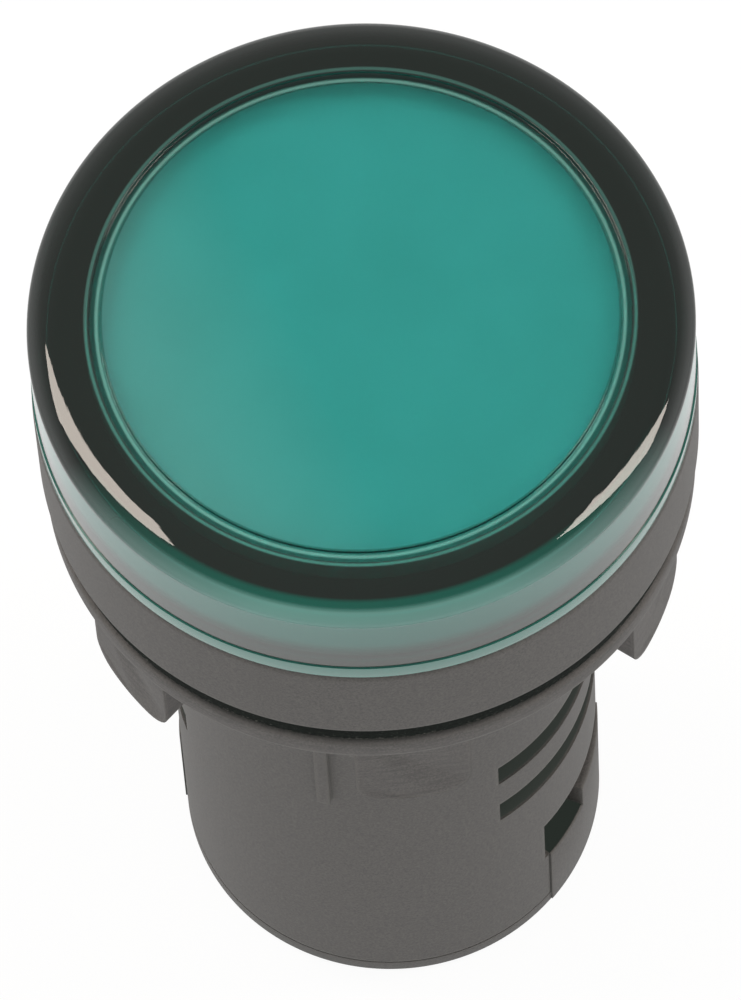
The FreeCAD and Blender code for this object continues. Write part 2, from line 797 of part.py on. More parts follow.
# Clamp washers: square, so that the cell walls keep them from turning
def make_clamp_washer(number):
    body = new_body(f"clamp_washer_{number}")
    half = "dim.washer_side / 2"
    cut = f"({half} - dim.washer_corner)"
    loop = [
        (f"0 - {cut}", f"0 - {half}"), (cut, f"0 - {half}"), (half, f"0 - {cut}"), (half, cut),
        (cut, half), (f"0 - {cut}", half), (f"0 - {half}", cut), (f"0 - {half}", f"0 - {cut}"),
    ]
    extrude(body, "square", [loop], [("0", "0", screw_bore)], "0", "dim.washer_thickness")
    place(body, across=f"{3 - 2 * number} * dim.terminal_offset", level=head_level)
    return body


# Terminal screws: pan heads with a cross slot, pointing at the rear
def make_terminal_screw(number):
    body = new_body(f"terminal_screw_{number}")
    head_low = "(0 - dim.screw_head_height)"
    section = [
        ("0", head_low),
        ("dim.screw_head_radius", head_low),
        ("dim.screw_head_radius", "0"),
        ("dim.screw_radius", "0"),
        ("dim.screw_radius", "dim.screw_length - dim.screw_tip"),
        ("dim.screw_radius - dim.screw_tip", "dim.screw_length"),
        ("0", "dim.screw_length"),
    ]
    blank = turn(body, "blank", [section])
    rim = is_ring("dim.screw_head_radius", head_low)
    soften(body, "head_round", blank, rim, "dim.screw_head_round")
    half = "dim.driver_slot_width / 2"
    reach = "(dim.screw_head_radius - dim.driver_slot_inset)"
    cross = [
        (f"0 - {reach}", f"0 - {half}"), (f"0 - {half}", f"0 - {half}"),
        (f"0 - {half}", f"0 - {reach}"), (half, f"0 - {reach}"),
        (half, f"0 - {half}"), (reach, f"0 - {half}"),
        (reach, half), (half, half),
        (half, reach), (f"0 - {half}", reach),
        (f"0 - {half}", half), (f"0 - {reach}", half),
    ]
    extrude(body, "cross_slot", [cross], [], head_low, "dim.driver_slot_depth", cut=True)
    place(body, across=f"{3 - 2 * number} * dim.terminal_offset", level=head_level)
    return body


# Terminal cover: rear plate with two wings that fill the gaps in the barrel's rim
def make_terminal_cover():
    body = new_body("terminal_cover")
    plate = [
        ("0", rear_face),
        ("dim.barrel_radius - dim.cover_edge", rear_face),
        ("dim.barrel_radius", f"{rear_face} + dim.cover_edge"),
        ("dim.barrel_radius", plate_top),
        ("0", plate_top),
    ]
    turn(body, "plate", [plate])
    outside = "dim.barrel_radius + dim.wing_proud"
    inside = "dim.barrel_radius - dim.wing_wall"
    foot = f"{rear_face} + dim.cover_edge"
    wing = turn(
        body, "wing",
        [rectangle(inside, outside, foot, "0 - dim.window_level - dim.window_height")],
        angle="dim.wing_end_azimuth - dim.wing_azimuth",
        azimuth="(dim.wing_end_azimuth + dim.wing_azimuth) / 2",
    )
    tongue = turn(
        body, "wing_tongue",
        [rectangle(inside, outside, foot, "0 - dim.wing_level")],
        angle="dim.wing_end_azimuth - dim.tongue_azimuth",
        azimuth="(dim.wing_end_azimuth + dim.tongue_azimuth) / 2",
    )
    rib_out = "(dim.barrel_radius - dim.block_wall - dim.push_gap)"
    rib = turn(
        body, "locating_rib",
        [rectangle(f"{rib_out} - dim.cover_rib_wall", rib_out, f"{plate_top} - dim.cover_rib_root",
                   f"{cell_floor} - dim.cover_rib_gap")],
        angle="dim.cover_rib_angle", azimuth="90",
    )
    repeat(body, "both_sides", [wing, tongue, rib], half_turns)
    holes = [
        (f"{side} * dim.terminal_offset", "0", "dim.driver_hole_radius")
        for side in (-1, 1)
    ]
    extrude(body, "driver_holes", [], holes, rear_face, "dim.cover_plate", cut=True)
    return body


parts = [
    make_lens_cap(),
    make_diffuser(),
    make_housing(),
    make_gasket(),
    make_lock_nut(),
    make_led_board(),
    make_power_board(),
    make_dropper_capacitor(),
    make_smoothing_capacitor(),
    make_bridge_rectifier(),
    make_terminal_block(),
    make_terminal_cover(),
]
parts += [make_led(number) for number in range(1, int(sizes["led_count"]) + 1)]
for number in (1, 2):
    parts.append(make_board_pin(number))
    parts.append(make_resistor(number))
    parts.append(make_terminal_plate(number))
    parts.append(make_clamp_washer(number))
    parts.append(make_terminal_screw(number))

doc.recompute()
faulty = [item.Name for item in doc.Objects if {"Invalid", "Error"} & set(item.State)]
if faulty:
    raise RuntimeError(f"failed objects: {faulty}")
for part in parts:
    if part.Shape.isNull() or not part.Shape.isValid() or len(part.Shape.Solids) != 1:
        raise RuntimeError(f"bad solid: {part.Label}")

os.makedirs("parts", exist_ok=True)
for part in parts:
    part.Shape.exportStep(f"parts/{part.Label}.step")
    box = part.Shape.BoundBox
    print(f"{part.Label:22s} {part.Shape.Volume:9.2f} mm3  z {box.ZMin:7.2f} to {box.ZMax:6.2f}")
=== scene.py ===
import math

import bmesh
import bpy
from mathutils import Matrix, Vector


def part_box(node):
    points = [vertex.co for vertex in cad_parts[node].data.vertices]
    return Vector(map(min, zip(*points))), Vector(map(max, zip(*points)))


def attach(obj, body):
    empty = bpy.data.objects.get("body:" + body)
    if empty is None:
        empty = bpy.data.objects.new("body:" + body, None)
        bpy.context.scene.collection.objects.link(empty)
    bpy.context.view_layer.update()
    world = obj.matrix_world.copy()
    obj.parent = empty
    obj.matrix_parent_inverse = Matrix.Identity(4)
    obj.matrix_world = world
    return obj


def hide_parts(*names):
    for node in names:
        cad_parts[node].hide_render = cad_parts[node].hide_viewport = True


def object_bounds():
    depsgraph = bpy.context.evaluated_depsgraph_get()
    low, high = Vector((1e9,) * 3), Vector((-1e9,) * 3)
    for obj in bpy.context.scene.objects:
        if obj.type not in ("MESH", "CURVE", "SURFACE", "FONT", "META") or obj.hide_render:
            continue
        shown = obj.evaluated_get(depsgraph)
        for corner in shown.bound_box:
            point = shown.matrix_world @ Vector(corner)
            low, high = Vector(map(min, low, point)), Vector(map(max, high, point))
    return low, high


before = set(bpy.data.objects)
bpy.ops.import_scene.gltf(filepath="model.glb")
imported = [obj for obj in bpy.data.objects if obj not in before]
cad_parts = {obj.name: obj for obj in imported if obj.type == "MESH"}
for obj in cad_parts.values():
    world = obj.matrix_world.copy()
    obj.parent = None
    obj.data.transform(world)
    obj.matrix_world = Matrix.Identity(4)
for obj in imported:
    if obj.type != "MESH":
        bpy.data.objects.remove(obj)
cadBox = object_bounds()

mm = 0.001
photoTurn = 21.5  # degrees from the photograph's left-right axis to the lamp's own X axis
sharpAngle = 38  # degrees; edges that turn further stay crisp


def toLinear(hexColour):
    channels = [int(hexColour[i:i + 2], 16) / 255 for i in (1, 3, 5)]
    return tuple(c / 12.92 if c <= 0.04045 else ((c + 0.055) / 1.055) ** 2.4 for c in channels) + (1.0,)


def addNode(tree, kind, inputs=None, **settings):
    # a node or a socket given for an input is linked to it, and anything else is its value
    node = tree.nodes.new("ShaderNode" + kind)
    for key, value in settings.items():
        setattr(node, key, value)
    for socket, value in (inputs or {}).items():
        if isinstance(value, bpy.types.Node):
            value = value.outputs[0]
        if isinstance(value, bpy.types.NodeSocket):
            tree.links.new(value, node.inputs[socket])
        else:
            node.inputs[socket].default_value = value
    return node


def newMaterial(name):
    material = bpy.data.materials.new(name)
    material.use_nodes = True
    tree = material.node_tree
    tree.nodes.clear()
    return material, tree, addNode(tree, "TexCoord").outputs["Object"]


# Shapes: outlines of (radius, level) in millimetres, turned or bent round the lamp's axis
def roundCorners(outline, radius, steps=3):
    bluntest = math.radians(150)  # a corner blunter than this is left as it is
    longest = 0.45  # of the shorter side beside a corner
    rounded = []
    for i, corner in enumerate(outline):
        here = Vector(corner)
        before = Vector(outline[i - 1]) - here
        after = Vector(outline[(i + 1) % len(outline)]) - here
        turn = before.angle(after) if before.length > 0 and after.length > 0 else math.pi
        reach = radius / math.tan(turn / 2) if turn > 0.01 else 0
        if abs(here.x) < 1e-6 or turn > bluntest or reach > longest * min(before.length, after.length):
            rounded.append(tuple(here))
            continue
        start = here + before.normalized() * reach
        end = here + after.normalized() * reach
        for k in range(steps + 1):
            t = k / steps
            rounded.append(tuple(start * (1 - t) ** 2 + here * 2 * t * (1 - t) + end * t * t))
    return rounded


def band(low, high, inner, outer):
    return [(inner, low), (outer, low), (outer, high), (inner, high)]


def pointAt(radius, angle, level):
    return radius * mm * math.cos(angle), radius * mm * math.sin(angle), level * mm


def meshObject(name, mesh):
    bmesh.ops.recalc_face_normals(mesh, faces=mesh.faces)
    data = bpy.data.meshes.new(name)
    mesh.to_mesh(data)
    mesh.free()
    piece = bpy.data.objects.new(name, data)
    bpy.context.scene.collection.objects.link(piece)
    return piece


def latheSolid(name, outline, steps=192, middle=0.0, sweep=360.0):
    # a full turn joins up with itself, and a shorter one is closed by a flat end on each side
    mesh = bmesh.new()
    whole = sweep >= 360
    turns = steps if whole else max(2, int(steps * sweep / 360) + 1)
    first = math.radians(middle - sweep / 2)
    columns = []
    for k in range(turns if whole else turns + 1):
        angle = first + math.radians(sweep) * k / turns
        column = []
        for j, (radius, level) in enumerate(outline):
            if radius < 1e-6 and k > 0:
                column.append(columns[0][j])
            else:
                column.append(mesh.verts.new(pointAt(radius, angle, level)))
        columns.append(column)
    for k in range(turns):
        here = columns[k]
        following = columns[(k + 1) % len(columns)]
        for j in range(len(outline)):
            above = (j + 1) % len(outline)
            corners = list(dict.fromkeys([here[j], following[j], following[above], here[above]]))
            if len(corners) > 2:
                mesh.faces.new(corners)
    if not whole:
        mesh.faces.new(columns[0])
        mesh.faces.new(reversed(columns[-1]))
    return meshObject(name, mesh)


def sectorSolid(name, inner, outer, low, high, middle, sweep, corner):
    # a block bent round the axis, with its lower corners rounded as seen from outside
    around = 14
    arc = 6
    start = math.radians(middle - sweep / 2)
    width = math.radians(sweep)
    cornerAngle = corner / outer
    left = []
    for k in range(arc, -1, -1):
        t = math.pi / 2 * k / arc
        left.append((cornerAngle * (1 - math.sin(t)), low + corner * (1 - math.cos(t))))
    bottom = [(cornerAngle + (width - 2 * cornerAngle) * k / around, low) for k in range(1, around)]
    right = [(width - angle, level) for angle, level in reversed(left)]
    top = [(width - width * k / around, high) for k in range(around + 1)]
    loop = left + bottom + right + top
    mesh = bmesh.new()
    rows = []
    for radius in (inner, outer):
        rows.append([mesh.verts.new(pointAt(radius, start + angle, level)) for angle, level in loop])
    for k in range(len(loop)):
        following = (k + 1) % len(loop)
        mesh.faces.new([rows[0][k], rows[0][following], rows[1][following], rows[1][k]])
    for row in rows:
        end = mesh.faces.new(row)
        bmesh.ops.triangulate(mesh, faces=[end], ngon_method="BEAUTY")
    return meshObject(name, mesh)


def bakeModifiers(piece):
    graph = bpy.context.evaluated_depsgraph_get()
    graph.update()
    old = piece.data
    piece.data = bpy.data.meshes.new_from_object(piece.evaluated_get(graph))
    piece.modifiers.clear()
    piece.data.name = piece.name
    bpy.data.meshes.remove(old)


def combine(target, others, operation):
    for other in others:
        modifier = target.modifiers.new("shape", "BOOLEAN")
        modifier.object = other
        modifier.operation = operation
        modifier.solver = "EXACT"
    bakeModifiers(target)
    for other in others:
        data = other.data
        bpy.data.objects.remove(other)
        bpy.data.meshes.remove(data)


def dress(piece, material):
    piece.data.materials.clear()
    piece.data.materials.append(material)


def standFor(piece, node, body, material):
    piece.data.shade_smooth()
    piece.data.set_sharp_from_angle(angle=math.radians(sharpAngle))
    modifier = piece.modifiers.new("normals", "WEIGHTED_NORMAL")
    modifier.keep_sharp = True
    bakeModifiers(piece)
    dress(piece, material)
    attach(piece, body)
    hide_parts(node)


# Materials
def aroundAxis(tree, where):
    # where a point of a turned piece lies: its X, Y and Z, the flat part of them, and how far out it is
    split = addNode(tree, "SeparateXYZ", {"Vector": where})
    flat = addNode(tree, "CombineXYZ", {"X": split.outputs["X"], "Y": split.outputs["Y"]})
    radius = addNode(tree, "VectorMath", {0: flat}, operation="LENGTH").outputs["Value"]
    return split, flat, radius


def greenPolycarbonate(spec, top):
    # polycarbonate, moulded in a polished tool: glassy, and a green that deepens with the way through
    # it. The window is bright, and round it colour is painted by place: thin painted highlight and
    # shade lines on the moulded ring, a nearly black painted shade on the border, a painted teal glow
    # at the rim, and down the side a pale milky green, strongest at the foot, that is partly the side's
    # own milky finish and partly painted reflection and glow. One side of the window has a painted
    # paler sheen
    look = {
        "gone": "#00f6f4", "perMetre": 800.0, "index": 1.58, "polish": 0.02, "sideRoughness": 0.14,
        "border": "#27302a", "borderMilk": 0.4, "hazeMm": 2.5, "speckMm": 0.9, "speckDepthMm": 0.0006,
        "turnMm": 0.12, "turnDepthMm": 0.0012, "turnsAcrossMm": 1.2,  # turning lines, coarser than the tool's
        "paleWeight": 0.05, "sheenAngle": 222.0, "sheenMm": (3.0, 9.5),
        "topMm": (-0.3, -0.27), "sideMm": (-0.9, -0.85), "brimMm": (13.35, 13.5), "brimLevelMm": (-1.2, -0.9),
        "rearMm": (6.0, 13.5), "sideLevelMm": (0.15, -0.25), "ringEdgeMm": (0.2, 0.6),
    }
    foot = lensLow + spec["footHeight"] + 0.02
    # each band: where it lies in millimetres, its colour, and how milky it is
    # ring bands, outward: the clear window, painted shade and highlight lines on the ring, the border's
    # near-black painted shade with one more highlight line, then a painted teal glow on the rim rising to a
    # pale painted glow at its edge
    ringBands = [
        (11.2, "#ffffff", 0.0), (11.27, "#5c8a80", 0.0), (11.35, "#5c8a80", 0.0), (11.45, "#a6e6da", 0.36),
        (11.53, "#a6e6da", 0.36), (11.62, "#4d776e", 0.0), (11.74, "#4d776e", 0.0),
        (11.86, look["border"], 0.45), (11.93, "#7fc4b6", 0.2), (11.98, "#7fc4b6", 0.2),
        (12.06, look["border"], 0.45), (13.5, look["border"], 0.45), (13.7, "#1d8a76", 0.35),
        (13.88, "#1d8a76", 0.35), (14.08, "#7fc0b4", 0.5),
    ]
    # side bands, upward: the foot's milky green, partly its own finish and partly painted, then grey painted
    # reflections, then teal rising to a pale painted glow under the rim
    sideBands = [
        (lensLow, "#3f8c7e", 0.75), (foot, "#3f8c7e", 0.75), (foot + 0.06, "#50564f", 0.4),
        (lensLow + 2.2, "#525e59", 0.35), (lensLow + 3.4, "#559f94", 0.4), (top - 1.0, "#5fa99d", 0.4),
        (top - 0.75, "#84c2b7", 0.55), (top - 0.25, "#84c2b7", 0.55),
    ]
    material, tree, where = newMaterial("green polycarbonate moulded")
    split, flat, radius = aroundAxis(tree, where)
    level = split.outputs["Z"]
    ramps = []
    for along, bands in ((radius, ringBands), (level, sideBands)):
        low = bands[0][0]
        high = bands[-1][0]
        place = addNode(tree, "MapRange", {"Value": along, "From Min": low * mm, "From Max": high * mm})
        ramp = addNode(tree, "ValToRGB", {"Fac": place})
        points = ramp.color_ramp.elements
        for k, (at, colour, milk) in enumerate(bands):
            share = (at - low) / (high - low)
            point = points[k] if k < 2 else points.new(share)
            point.position = share
            point.color = toLinear(colour)[:3] + (milk,)
        ramps.append(ramp)
    ring, side = ramps
    # the places that are told apart: the flat top, the side wall, and the rim's far and flank parts
    masks = {}
    for name, along, start, reach in (
        ("top", level, top, look["topMm"]),
        ("side", radius, spec["sideRadius"], look["sideMm"]),
        ("brim", radius, 0.0, look["brimMm"]),
        ("brimLevel", level, top, look["brimLevelMm"]),
        ("sideLevel", level, top - spec["rimDrop"], look["sideLevelMm"]),
        ("ringEdge", radius, spec["ringRadius"], look["ringEdgeMm"]),
    ):
        masks[name] = addNode(tree, "MapRange", {
            "Value": along, "From Min": (start + reach[0]) * mm, "From Max": (start + reach[1]) * mm,
        })
    # painted shade: the rim's far part, away from the front, takes the border's near black
    ahead = math.radians(photoTurn - 90)
    front = addNode(tree, "VectorMath", {
        0: flat, 1: (math.cos(ahead), math.sin(ahead), 0.0),
    }, operation="DOT_PRODUCT")
    rear = addNode(tree, "MapRange", {
        "Value": front.outputs["Value"], "To Min": 1.0, "To Max": 0.0,
        "From Min": look["rearMm"][0] * mm, "From Max": look["rearMm"][1] * mm,
    })
    brim = addNode(tree, "Math", {0: masks["brim"], 1: masks["brimLevel"]}, operation="MULTIPLY")
    shaded = addNode(tree, "Math", {0: rear, 1: brim}, operation="MULTIPLY")
    # colour: clear where the depth of the moulding alone makes the green
    tint = addNode(tree, "Mix", {0: masks["side"], 6: (1.0, 1.0, 1.0, 1.0), 7: side}, data_type="RGBA")
    tint = addNode(tree, "Mix", {0: masks["top"], 6: tint.outputs[2], 7: ring}, data_type="RGBA")
    dark = toLinear(look["border"])
    tint = addNode(tree, "Mix", {0: shaded, 6: tint.outputs[2], 7: dark}, data_type="RGBA")
    # what doesn't pass light: the milky bands, with their painted highlights, shade, reflections and
    # glow, and a painted paler sheen on one side of the window
    milk = addNode(tree, "Math", {0: masks["side"], 1: side.outputs["Alpha"]}, operation="MULTIPLY")
    milk = addNode(tree, "Mix", {"Factor": masks["top"], "A": milk, "B": ring.outputs["Alpha"]})
    milk = addNode(tree, "Mix", {"Factor": shaded, "A": milk, "B": look["borderMilk"]})
    # painted sheen: one side of the window is made paler and greyer, as a broad reflection would
    turn = math.radians(look["sheenAngle"])
    sideways = addNode(tree, "VectorMath", {
        0: flat, 1: (math.cos(turn), math.sin(turn), 0.0),
    }, operation="DOT_PRODUCT")
    paler = addNode(tree, "MapRange", {
        "Value": sideways.outputs["Value"], "To Max": look["paleWeight"],
        "From Min": look["sheenMm"][0] * mm, "From Max": look["sheenMm"][1] * mm,
    })
    lost = addNode(tree, "Math", {0: paler, 1: milk}, operation="ADD")
    passed = addNode(tree, "MapRange", {"Value": lost, "To Min": 1.0, "To Max": 0.0})
    haze = addNode(tree, "TexNoise", {
        "Vector": where, "Scale": 1 / (look["hazeMm"] * mm), "Detail": 4.0, "Roughness": 0.55,
    })
    polish = addNode(tree, "MapRange", {
        "Value": haze, "From Min": 0.3, "From Max": 0.7,
        "To Min": look["polish"] * 0.6, "To Max": look["polish"] * 1.6,
    })
    rough = addNode(tree, "Mix", {"Factor": masks["sideLevel"], "A": polish, "B": look["sideRoughness"]})
    specks = addNode(tree, "TexNoise", {
        "Vector": where, "Scale": 1 / (look["speckMm"] * mm), "Detail": 2.0, "Roughness": 0.55,
    })
    normal = addNode(tree, "Bump", {"Height": specks, "Strength": 1.0, "Distance": look["speckDepthMm"] * mm})
    # fine circles outside the ring, as a turned tool leaves them
    angle = addNode(tree, "Math", {0: split.outputs["Y"], 1: split.outputs["X"]}, operation="ARCTAN2")
    swept = addNode(tree, "MapRange", {
        "Value": angle, "From Min": -math.pi, "From Max": math.pi,
        "To Min": -look["turnsAcrossMm"] * mm, "To Max": look["turnsAcrossMm"] * mm,
    })
    polar = addNode(tree, "CombineXYZ", {"X": radius, "Y": swept})
    turned = addNode(tree, "TexNoise", {
        "Vector": polar, "Scale": 1 / (look["turnMm"] * mm), "Detail": 2.0, "Roughness": 0.55,
    })
    border = addNode(tree, "Math", {0: masks["ringEdge"], 1: masks["top"]}, operation="MULTIPLY")
    lines = addNode(tree, "Math", {0: turned, 1: border}, operation="MULTIPLY")
    normal = addNode(tree, "Bump", {
        "Height": lines, "Normal": normal, "Strength": 1.0, "Distance": look["turnDepthMm"] * mm,
    })
    shader = addNode(tree, "BsdfPrincipled", {
        "Base Color": tint.outputs[2], "IOR": look["index"], "Roughness": rough,
        "Transmission Weight": passed, "Normal": normal,
    })
    depth = addNode(tree, "VolumeAbsorption", {"Color": toLinear(look["gone"]), "Density": look["perMetre"]})
    addNode(tree, "OutputMaterial", {"Surface": shader, "Volume": depth})
    return material


def opalAcrylic():
    # acrylic, cast milky: an even soft white that takes the colour of the lens over it
    look = {"white": "#e9ede9", "cloud": "#dde6e1", "cloudMm": 6.0, "roughness": 0.45, "index": 1.49}
    material, tree, where = newMaterial("opal acrylic cast")
    cloud = addNode(tree, "TexNoise", {
        "Vector": where, "Scale": 1 / (look["cloudMm"] * mm), "Detail": 2.0, "Roughness": 0.55,
    })
    part = addNode(tree, "MapRange", {"Value": cloud, "From Min": 0.35, "From Max": 0.65})
    shade = addNode(tree, "Mix", {
        0: part, 6: toLinear(look["cloud"]), 7: toLinear(look["white"]),
    }, data_type="RGBA")
    shader = addNode(tree, "BsdfPrincipled", {
        "Base Color": shade.outputs[2], "Roughness": look["roughness"], "IOR": look["index"],
    })
    addNode(tree, "OutputMaterial", {"Surface": shader})
    return material


def grainedPolyamide(name, dark, light, dragMm=0.0):
    # glass-filled polyamide, moulded in a spark-eroded tool: a dry warm grey with a fine even grain, paler
    # along its edges, and a dull green-black painted shade with a faint painted glow in its recesses. The
    # real grain is finer than the render shows, so it is drawn coarser. Drag marks run up and down a piece
    # that is screwed on and off
    look = {
        "grainMm": 0.12, "depthMm": 0.01, "index": 1.53, "roughness": 0.6, "roughBy": 0.08,
        "edgeMm": 0.3, "edgeTurn": (0.995, 0.92), "paler": "#827e79", "paleWeight": 0.75,
        "reachMm": 2.2, "closedBelow": (0.5, 0.2), "paintedShade": "#0a0e0c", "glow": "#272c28",
        "hollowMm": (9.7, 9.6), "hollowLevelMm": -20.5, "hollowHalfMm": 4.5,
        "drag": "#34312f", "dragWeight": 0.5, "dragStretch": (0.12, 0.12, 1.0), "dragDepthMm": 0.008,
    }
    material, tree, where = newMaterial(name)
    grain = addNode(tree, "TexNoise", {
        "Vector": where, "Scale": 1 / (look["grainMm"] * mm), "Detail": 5.0, "Roughness": 0.75,
    })
    part = addNode(tree, "MapRange", {"Value": grain, "From Min": 0.38, "From Max": 0.62})
    shade = addNode(tree, "Mix", {0: part, 6: toLinear(dark), 7: toLinear(light)}, data_type="RGBA")
    edge = addNode(tree, "Bevel", {"Radius": look["edgeMm"] * mm}, samples=2)
    normal = addNode(tree, "Bump", {
        "Height": grain, "Normal": edge, "Strength": 1.0, "Distance": look["depthMm"] * mm,
    })
    if dragMm:
        spread = addNode(tree, "Mapping", {"Vector": where, "Scale": look["dragStretch"]})
        drag = addNode(tree, "TexNoise", {
            "Vector": spread, "Scale": 1 / (dragMm * mm), "Detail": 2.0, "Roughness": 0.55,
        })
        part = addNode(tree, "MapRange", {
            "Value": drag, "From Min": 0.45, "From Max": 0.7, "To Max": look["dragWeight"],
        })
        shade = addNode(tree, "Mix", {
            0: part, 6: shade.outputs[2], 7: toLinear(look["drag"]),
        }, data_type="RGBA")
        normal = addNode(tree, "Bump", {
            "Height": drag, "Normal": normal, "Strength": 1.0, "Distance": look["dragDepthMm"] * mm,
        })
    # paler where the rounded edge turns away from the face
    face = addNode(tree, "NewGeometry").outputs["Normal"]
    turned = addNode(tree, "VectorMath", {0: edge, 1: face}, operation="DOT_PRODUCT")
    paler = addNode(tree, "MapRange", {
        "Value": turned.outputs["Value"], "From Min": look["edgeTurn"][0], "From Max": look["edgeTurn"][1],
        "To Max": look["paleWeight"],
    })
    shade = addNode(tree, "Mix", {0: paler, 6: shade.outputs[2], 7: toLinear(look["paler"])}, data_type="RGBA")
    # painted shade where little light gets in: in narrow gaps, and in the hollow behind the vents
    recess = addNode(tree, "AmbientOcclusion", {"Distance": look["reachMm"] * mm}, samples=2)
    narrow = addNode(tree, "MapRange", {
        "Value": recess.outputs["AO"], "From Min": look["closedBelow"][0], "From Max": look["closedBelow"][1],
    })
    split, _, radius = aroundAxis(tree, where)
    inside = addNode(tree, "MapRange", {
        "Value": radius, "From Min": look["hollowMm"][0] * mm, "From Max": look["hollowMm"][1] * mm,
    })
    middle = addNode(tree, "Math", {
        0: split.outputs["Z"], 1: look["hollowLevelMm"] * mm, 2: look["hollowHalfMm"] * mm,
    }, operation="COMPARE")
    hollow = addNode(tree, "Math", {0: inside, 1: middle}, operation="MULTIPLY")
    shadeShare = addNode(tree, "Math", {0: narrow, 1: hollow}, operation="MAXIMUM")
    shade = addNode(tree, "Mix", {
        0: shadeShare, 6: shade.outputs[2], 7: toLinear(look["paintedShade"]),
    }, data_type="RGBA")
    rough = addNode(tree, "MapRange", {
        "Value": grain, "From Min": 0.3, "From Max": 0.7,
        "To Min": look["roughness"] - look["roughBy"], "To Max": look["roughness"] + look["roughBy"],
    })
    # the places of painted shade also get a faint painted glow, so they don't render black
    shader = addNode(tree, "BsdfPrincipled", {
        "Base Color": shade.outputs[2], "IOR": look["index"], "Roughness": rough, "Normal": normal,
        "Emission Color": toLinear(look["glow"]), "Emission Strength": shadeShare,
    })
    addNode(tree, "OutputMaterial", {"Surface": shader})
    return material


def nitrileRubber():
    # nitrile rubber, compression moulded: near black with a green cast, and pale dust that gathers
    # along its lower edge
    look = {
        "black": "#060c08", "bloom": "#1b221d", "grainMm": 0.14, "depthMm": 0.02,
        "dust": "#6a6863", "dustMm": 0.5, "dustFrom": (-0.42, -0.64), "dustEdge": 0.1, "dustWeight": 0.85,
        "index": 1.52, "specular": 0.12, "roughness": 0.85,
    }
    material, tree, where = newMaterial("nitrile rubber moulded")
    grain = addNode(tree, "TexNoise", {
        "Vector": where, "Scale": 1 / (look["grainMm"] * mm), "Detail": 4.0, "Roughness": 0.7,
    })
    part = addNode(tree, "MapRange", {"Value": grain, "From Min": 0.42, "From Max": 0.66})
    shade = addNode(tree, "Mix", {
        0: part, 6: toLinear(look["black"]), 7: toLinear(look["bloom"]),
    }, data_type="RGBA")
    level = addNode(tree, "SeparateXYZ", {"Vector": where}).outputs["Z"]
    shelter = addNode(tree, "MapRange", {
        "Value": level, "From Max": look["dustMm"] * mm,
        "To Min": look["dustFrom"][0], "To Max": look["dustFrom"][1],
    })
    dusty = addNode(tree, "Math", {0: grain, 1: shelter}, operation="ADD")
    dust = addNode(tree, "MapRange", {
        "Value": dusty, "From Max": look["dustEdge"], "To Max": look["dustWeight"],
    })
    shade = addNode(tree, "Mix", {0: dust, 6: shade.outputs[2], 7: toLinear(look["dust"])}, data_type="RGBA")
    normal = addNode(tree, "Bump", {"Height": grain, "Strength": 1.0, "Distance": look["depthMm"] * mm})
    shader = addNode(tree, "BsdfPrincipled", {
        "Base Color": shade.outputs[2], "IOR": look["index"], "Specular IOR Level": look["specular"],
        "Roughness": look["roughness"], "Normal": normal,
    })
    addNode(tree, "OutputMaterial", {"Surface": shader})
    return material


def boardLaminate():
    # glass-fibre laminate with solder mask: a slick dark green over faint tracks
    look = {
        "mask": "#1d5a35", "track": "#2f7a4a", "tileMm": 6.4, "trackWidth": 0.02, "depthMm": 0.02,
        "roughness": 0.32, "index": 1.55,
    }
    material, tree, where = newMaterial("glass fibre laminate masked")
    tracks = addNode(tree, "TexBrick", {
        "Vector": where, "Scale": 1 / (look["tileMm"] * mm), "Mortar Size": look["trackWidth"],
        "Color1": toLinear(look["mask"]), "Color2": toLinear(look["mask"]), "Mortar": toLinear(look["track"]),
    })
    normal = addNode(tree, "Bump", {
        "Height": tracks.outputs["Fac"], "Strength": 1.0, "Distance": look["depthMm"] * mm,
    })
    shader = addNode(tree, "BsdfPrincipled", {
        "Base Color": tracks, "Roughness": look["roughness"], "IOR": look["index"], "Normal": normal,
    })
    addNode(tree, "OutputMaterial", {"Surface": shader})
    return material


def plainFinish(name, colour, second, roughness, patternMm, depthMm, swing, stretch=(1, 1, 1), **surface):
    # a finish that only wavers a little: in colour, in gloss by the two shares of swing, and in relief
    material, tree, where = newMaterial(name)
    spread = addNode(tree, "Mapping", {"Vector": where, "Scale": stretch})
    waver = addNode(tree, "TexNoise", {
        "Vector": spread, "Scale": 1 / (patternMm * mm), "Detail": 3.0, "Roughness": 0.55,
    })
    part = addNode(tree, "MapRange", {"Value": waver, "From Min": 0.35, "From Max": 0.65})
    shade = addNode(tree, "Mix", {0: part, 6: toLinear(colour), 7: toLinear(second)}, data_type="RGBA")
    rough = addNode(tree, "MapRange", {
        "Value": waver, "From Min": 0.3, "From Max": 0.7,
        "To Min": roughness * swing[0], "To Max": roughness * swing[1],
    })
    normal = addNode(tree, "Bump", {"Height": waver, "Strength": 1.0, "Distance": depthMm * mm})
    shader = addNode(tree, "BsdfPrincipled", {
        "Base Color": shade.outputs[2], "Roughness": rough, "Normal": normal, **surface,
    })
    addNode(tree, "OutputMaterial", {"Surface": shader})
    return material


def mouldedFinish(name, colour, second, roughness, index=1.5):
    # cast, dipped or moulded smooth: a faint mottle as wide as a flow mark
    return plainFinish(name, colour, second, roughness, 1.2, 0.004, (0.8, 1.2), IOR=index)


def metalFinish(name, colour, second, roughness, brushMm, stretch):
    # drawn, stamped or plated: marks that run long where the metal was pulled
    return plainFinish(name, colour, second, roughness, brushMm, 0.006, (0.75, 1.3), stretch, Metallic=1.0)


# Levels and radii that the frame gives, in millimetres
def levels(node):
    low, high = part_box(node)
    return low[2] / mm, high[2] / mm


def radiusOf(node):
    low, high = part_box(node)
    return max(high[0], -low[0], high[1], -low[1]) / mm


